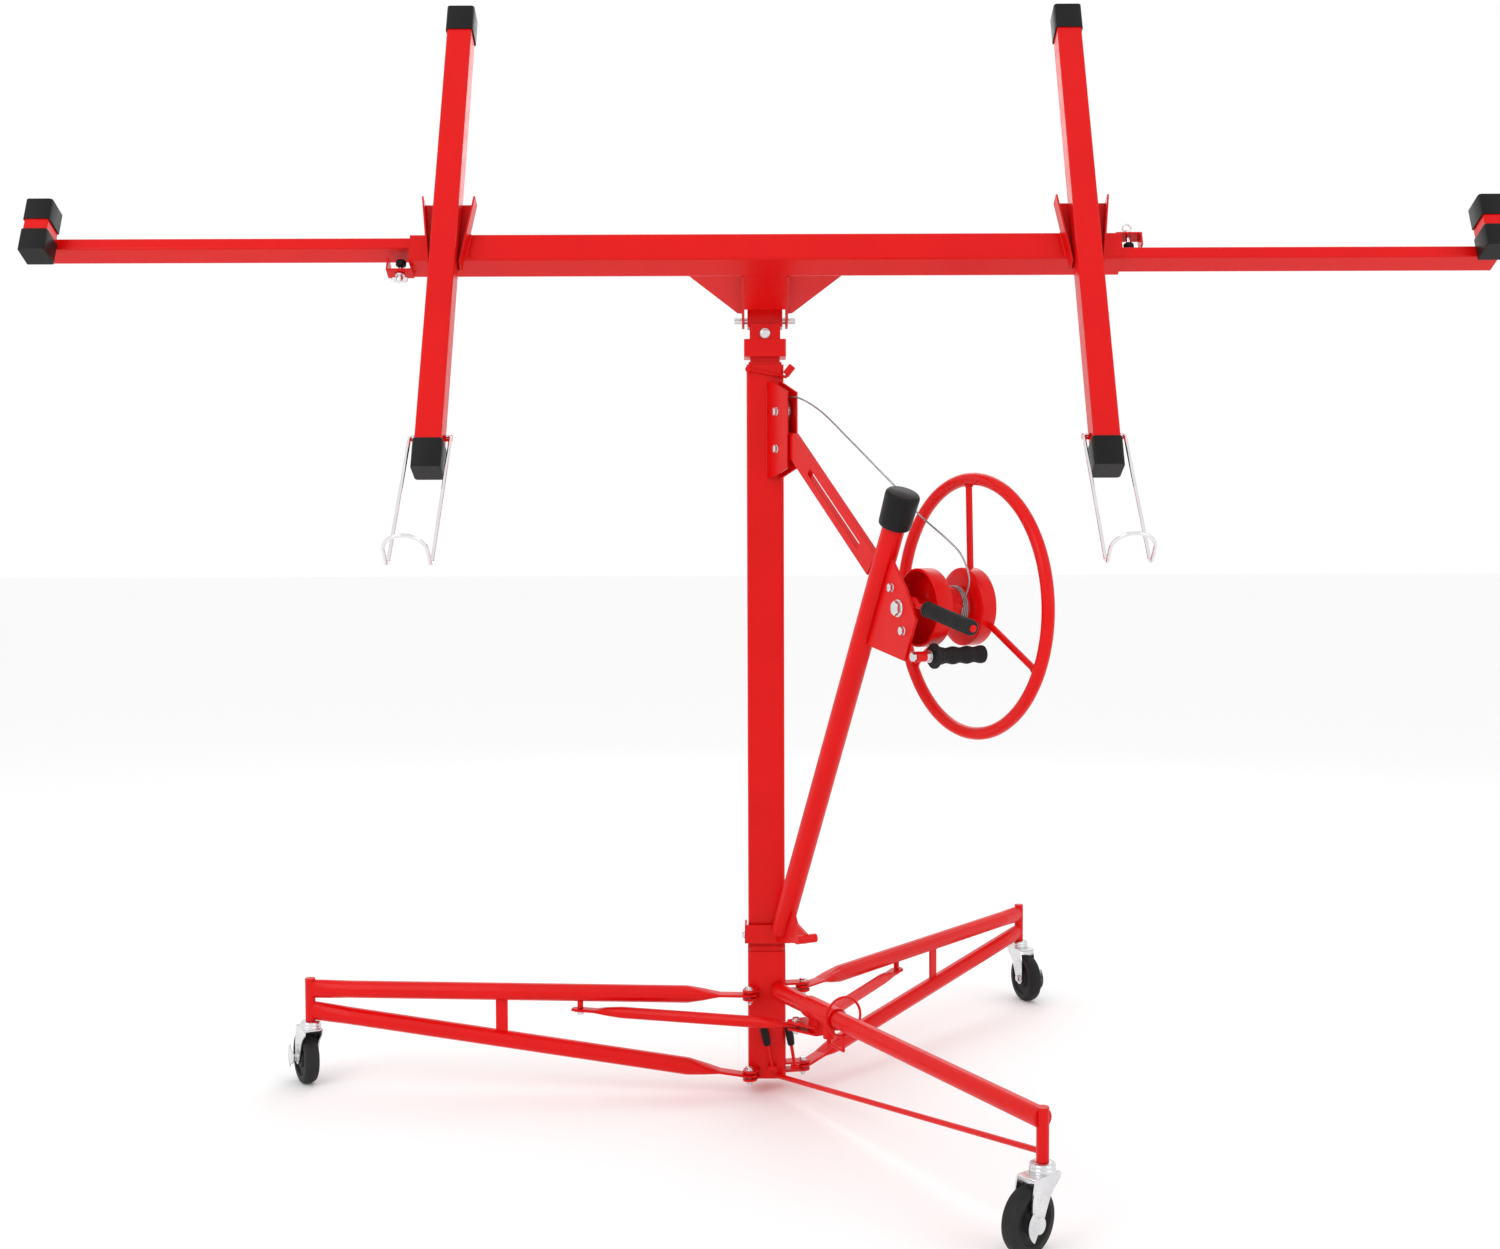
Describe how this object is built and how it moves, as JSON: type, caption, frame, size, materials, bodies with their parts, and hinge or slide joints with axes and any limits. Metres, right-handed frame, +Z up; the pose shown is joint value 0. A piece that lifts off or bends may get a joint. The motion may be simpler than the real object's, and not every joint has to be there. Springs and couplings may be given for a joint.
{
  "type": "drywall panel lift",
  "caption": "Hand-wound plasterboard lift: folding wheeled tripod, telescoping channel mast, hand-wheel winch and a tilting cradle with sliding outriggers and wire hooks",
  "frame": {"origin": "centre of the footprint box at floor level; the mast axis stands at y = 0.082", "axes": "+Z up, +X along the cradle's main beam towards the right outrigger, +Y away from the side that panels are loaded from"},
  "size_m": [2.536, 1.4913, 1.9896],
  "materials": {
    "red_enamel": "glossy red enamel on welded steel tube and plate",
    "black_plastic": "moulded black plastic with a slight sheen",
    "black_rubber": "soft black rubber, matt",
    "black_wheel": "solid black rubber wheel",
    "zinc_plate": "bright zinc-plated steel",
    "bright_wire": "bright plated spring wire",
    "wire_rope": "twisted galvanised wire rope"
  },
  "bodies": {
    "base": {"mast_socket": "red_enamel", "fixed_leg": "red_enamel", "left_hinge_bolt": "zinc_plate", "right_hinge_bolt": "zinc_plate", "mast_outer": "red_enamel", "winch_tube": "red_enamel", "winch_tube_cap": "black_plastic", "winch_brace": "red_enamel", "bracket_bolt_upper": "zinc_plate", "bracket_bolt_lower": "zinc_plate", "winch_plate": "red_enamel", "winch_axle": "zinc_plate", "steady_handle_bolt": "zinc_plate", "steady_grip": "black_rubber", "lift_cable": "wire_rope"},
    "collar": {"lock_collar": "red_enamel"},
    "lock_pin": {"collar_lock_pin": "red_enamel"},
    "left_link": {"left_link": "red_enamel"},
    "right_link": {"right_link": "red_enamel"},
    "left_leg": {"left_leg": "red_enamel"},
    "right_leg": {"right_leg": "red_enamel"},
    "left_swivel": {"left_caster_fork": "zinc_plate"},
    "left_wheel": {"left_caster_wheel": "black_wheel"},
    "left_brake": {"left_caster_brake": "zinc_plate"},
    "right_swivel": {"right_caster_fork": "zinc_plate"},
    "right_wheel": {"right_caster_wheel": "black_wheel"},
    "right_brake": {"right_caster_brake": "zinc_plate"},
    "front_swivel": {"front_caster_fork": "zinc_plate"},
    "front_wheel": {"front_caster_wheel": "black_wheel"},
    "front_brake": {"front_caster_brake": "zinc_plate"},
    "left_latch": {"left_latch_lever": "black_plastic"},
    "right_latch": {"right_latch_lever": "black_plastic"},
    "mast_middle": {"mast_middle": "red_enamel"},
    "mast_inner": {"mast_inner": "red_enamel", "side_tilt_bolt": "zinc_plate"},
    "mast_catch": {"mast_catch": "red_enamel"},
    "guide_pulley": {"guide_pulley": "zinc_plate"},
    "winch_drum": {"winch_drum": "red_enamel", "hand_wheel": "red_enamel"},
    "brake_lever": {"brake_lever": "red_enamel", "brake_grip": "black_rubber"},
    "tilt_head": {"tilt_head": "red_enamel", "tilt_pin": "zinc_plate"},
    "cradle": {"main_beam": "red_enamel", "left_cross_arm": "red_enamel", "right_cross_arm": "red_enamel", "left_arm_cap_upper": "black_plastic", "left_arm_cap_lower": "black_plastic", "right_arm_cap_upper": "black_plastic", "right_arm_cap_lower": "black_plastic"},
    "left_outrigger": {"left_outrigger": "red_enamel", "left_end_cap_upper": "black_plastic", "left_end_cap_lower": "black_plastic"},
    "right_outrigger": {"right_outrigger": "red_enamel", "right_end_cap_upper": "black_plastic", "right_end_cap_lower": "black_plastic"},
    "left_clamp": {"left_clamp_screw": "zinc_plate"},
    "right_clamp": {"right_clamp_screw": "zinc_plate"},
    "left_hook": {"left_panel_hook": "bright_wire"},
    "right_hook": {"right_panel_hook": "bright_wire"}
  },
  "joints": [
    {"name": "left_leg_fold", "type": "hinge", "parent": "base", "child": "left_leg", "pos_m": [-0.032, 0.026, 0.187], "axis": [0, 0, 1], "range_deg": [0, 76]},
    {"name": "right_leg_fold", "type": "hinge", "parent": "base", "child": "right_leg", "pos_m": [0.068, 0.092, 0.187], "axis": [0, 0, 1], "range_deg": [-70.53, 0]},
    {"name": "collar_slide", "type": "slide", "parent": "base", "child": "collar", "axis": [0.4587, -0.8886, 0], "range_m": [0, 0.4283]},
    {"name": "left_link_swing", "type": "hinge", "parent": "collar", "child": "left_link", "pos_m": [0.05103, -0.06047, 0.155], "axis": [0, 0, 1], "range_deg": [-8.79, 0]},
    {"name": "right_link_swing", "type": "hinge", "parent": "collar", "child": "right_link", "pos_m": [0.08657, -0.04212, 0.155], "axis": [0, 0, 1], "range_deg": [0, 13.69]},
    {"name": "collar_lock_pull", "type": "slide", "parent": "collar", "child": "lock_pin", "axis": [0, 0, -1], "range_m": [0, 0.006], "stiffness_N_per_m": 300, "springref_m": -0.02},
    {"name": "left_caster_swivel", "type": "hinge", "parent": "left_leg", "child": "left_swivel", "pos_m": [-0.856, 0.082, 0.11], "axis": [0, 0, 1], "continuous": true},
    {"name": "left_wheel_roll", "type": "hinge", "parent": "left_swivel", "child": "left_wheel", "pos_m": [-0.87248, 0.11174, 0.05], "axis": [-0.8746, -0.4848, 0], "continuous": true},
    {"name": "left_brake_pedal", "type": "hinge", "parent": "left_swivel", "child": "left_brake", "pos_m": [-0.87248, 0.11174, 0.05], "axis": [-0.8746, -0.4848, 0], "range_deg": [0, 15]},
    {"name": "right_caster_swivel", "type": "hinge", "parent": "right_leg", "child": "right_swivel", "pos_m": [0.56944, 0.72112, 0.11], "axis": [0, 0, 1], "continuous": true},
    {"name": "right_wheel_roll", "type": "hinge", "parent": "right_swivel", "child": "right_wheel", "pos_m": [0.58107, 0.68917, 0.05], "axis": [0.9397, 0.342, 0], "continuous": true},
    {"name": "right_brake_pedal", "type": "hinge", "parent": "right_swivel", "child": "right_brake", "pos_m": [0.58107, 0.68917, 0.05], "axis": [0.9397, 0.342, 0], "range_deg": [0, 15]},
    {"name": "front_caster_swivel", "type": "hinge", "parent": "base", "child": "front_swivel", "pos_m": [0.3926, -0.67866, 0.11], "axis": [0, 0, 1], "continuous": true},
    {"name": "front_wheel_roll", "type": "hinge", "parent": "front_swivel", "child": "front_wheel", "pos_m": [0.36815, -0.70227, 0.05], "axis": [0.6947, -0.7193, 0], "continuous": true},
    {"name": "front_brake_pedal", "type": "hinge", "parent": "front_swivel", "child": "front_brake", "pos_m": [0.36815, -0.70227, 0.05], "axis": [0.6947, -0.7193, 0], "range_deg": [0, 15]},
    {"name": "left_latch_tilt", "type": "hinge", "parent": "base", "child": "left_latch", "pos_m": [0.01, 0.038, 0.046], "axis": [1, 0, 0], "range_deg": [0, 35], "stiffness_Nm_per_rad": 0.5, "springref_deg": -17.19},
    {"name": "right_latch_tilt", "type": "hinge", "parent": "base", "child": "right_latch", "pos_m": [0.052, 0.052, 0.044], "axis": [1, 0, 0], "range_deg": [0, 35], "stiffness_Nm_per_rad": 0.5, "springref_deg": -17.19},
    {"name": "winch_spin", "type": "hinge", "parent": "base", "child": "winch_drum", "pos_m": [0.21373, -0.3321, 0.915], "axis": [0.8886, 0.4587, 0], "range_deg": [0, 3046.74]},
    {"name": "mast_middle_slide", "type": "slide", "parent": "base", "child": "mast_middle", "axis": [0, 0, 1], "range_m": [0, 0.92]},
    {"name": "mast_inner_slide", "type": "slide", "parent": "mast_middle", "child": "mast_inner", "axis": [0, 0, 1], "range_m": [0, 0.92]},
    {"name": "guide_pulley_spin", "type": "hinge", "parent": "base", "child": "guide_pulley", "pos_m": [0.02935, 0.02513, 1.2577], "axis": [0.8886, 0.4587, 0], "range_deg": [0, 4524.91]},
    {"name": "brake_lever_pull", "type": "hinge", "parent": "base", "child": "brake_lever", "pos_m": [0.23321, -0.3513, 0.924], "axis": [0.8886, 0.4587, 0], "range_deg": [0, 12], "stiffness_Nm_per_rad": 3, "springref_deg": -22.92},
    {"name": "mast_catch_lift", "type": "hinge", "parent": "base", "child": "mast_catch", "pos_m": [-0.031, 0.0475, 1.337], "axis": [0, 1, 0], "range_deg": [-14, 0]},
    {"name": "side_tilt", "type": "hinge", "parent": "mast_inner", "child": "tilt_head", "pos_m": [0, 0.082, 1.402], "axis": [0, 1, 0], "range_deg": [-10, 10]},
    {"name": "cradle_tilt", "type": "hinge", "parent": "tilt_head", "child": "cradle", "pos_m": [0, 0.082, 1.4285], "axis": [1, 0, 0], "range_deg": [-64.4, 0]},
    {"name": "left_outrigger_slide", "type": "slide", "parent": "cradle", "child": "left_outrigger", "axis": [1, 0, 0], "range_m": [0, 0.57]},
    {"name": "right_outrigger_slide", "type": "slide", "parent": "cradle", "child": "right_outrigger", "axis": [-1, 0, 0], "range_m": [0, 0.57]},
    {"name": "left_clamp_turn", "type": "hinge", "parent": "cradle", "child": "left_clamp", "pos_m": [-0.6315, -0.12903, 1.47638], "axis": [0, 0.4321, 0.9018], "range_deg": [-360, 0]},
    {"name": "right_clamp_turn", "type": "hinge", "parent": "cradle", "child": "right_clamp", "pos_m": [0.6315, -0.08755, 1.56296], "axis": [0, -0.4321, -0.9018], "range_deg": [-360, 0]},
    {"name": "left_hook_swing", "type": "hinge", "parent": "cradle", "child": "left_hook", "pos_m": [-0.547, -0.32244, 1.19537], "axis": [1, 0, 0], "range_deg": [0, 75], "stiffness_Nm_per_rad": 0.6, "springref_deg": -57.3},
    {"name": "right_hook_swing", "type": "hinge", "parent": "cradle", "child": "right_hook", "pos_m": [0.547, -0.32244, 1.19537], "axis": [1, 0, 0], "range_deg": [0, 75], "stiffness_Nm_per_rad": 0.6, "springref_deg": -57.3}
  ],
  "couplings": [
    {"joint": "right_leg_fold", "follows": "left_leg_fold", "ratio": -0.92787},
    {"joint": "collar_slide", "follows": "left_leg_fold", "m_per_rad": 0.32283},
    {"joint": "left_link_swing", "follows": "left_leg_fold", "ratio": -0.11555},
    {"joint": "right_link_swing", "follows": "left_leg_fold", "ratio": 0.18002},
    {"joint": "mast_middle_slide", "follows": "winch_spin", "m_per_rad": 0.0173},
    {"joint": "mast_inner_slide", "follows": "winch_spin", "m_per_rad": 0.0173},
    {"joint": "guide_pulley_spin", "follows": "winch_spin", "ratio": 1.485}
  ]
}
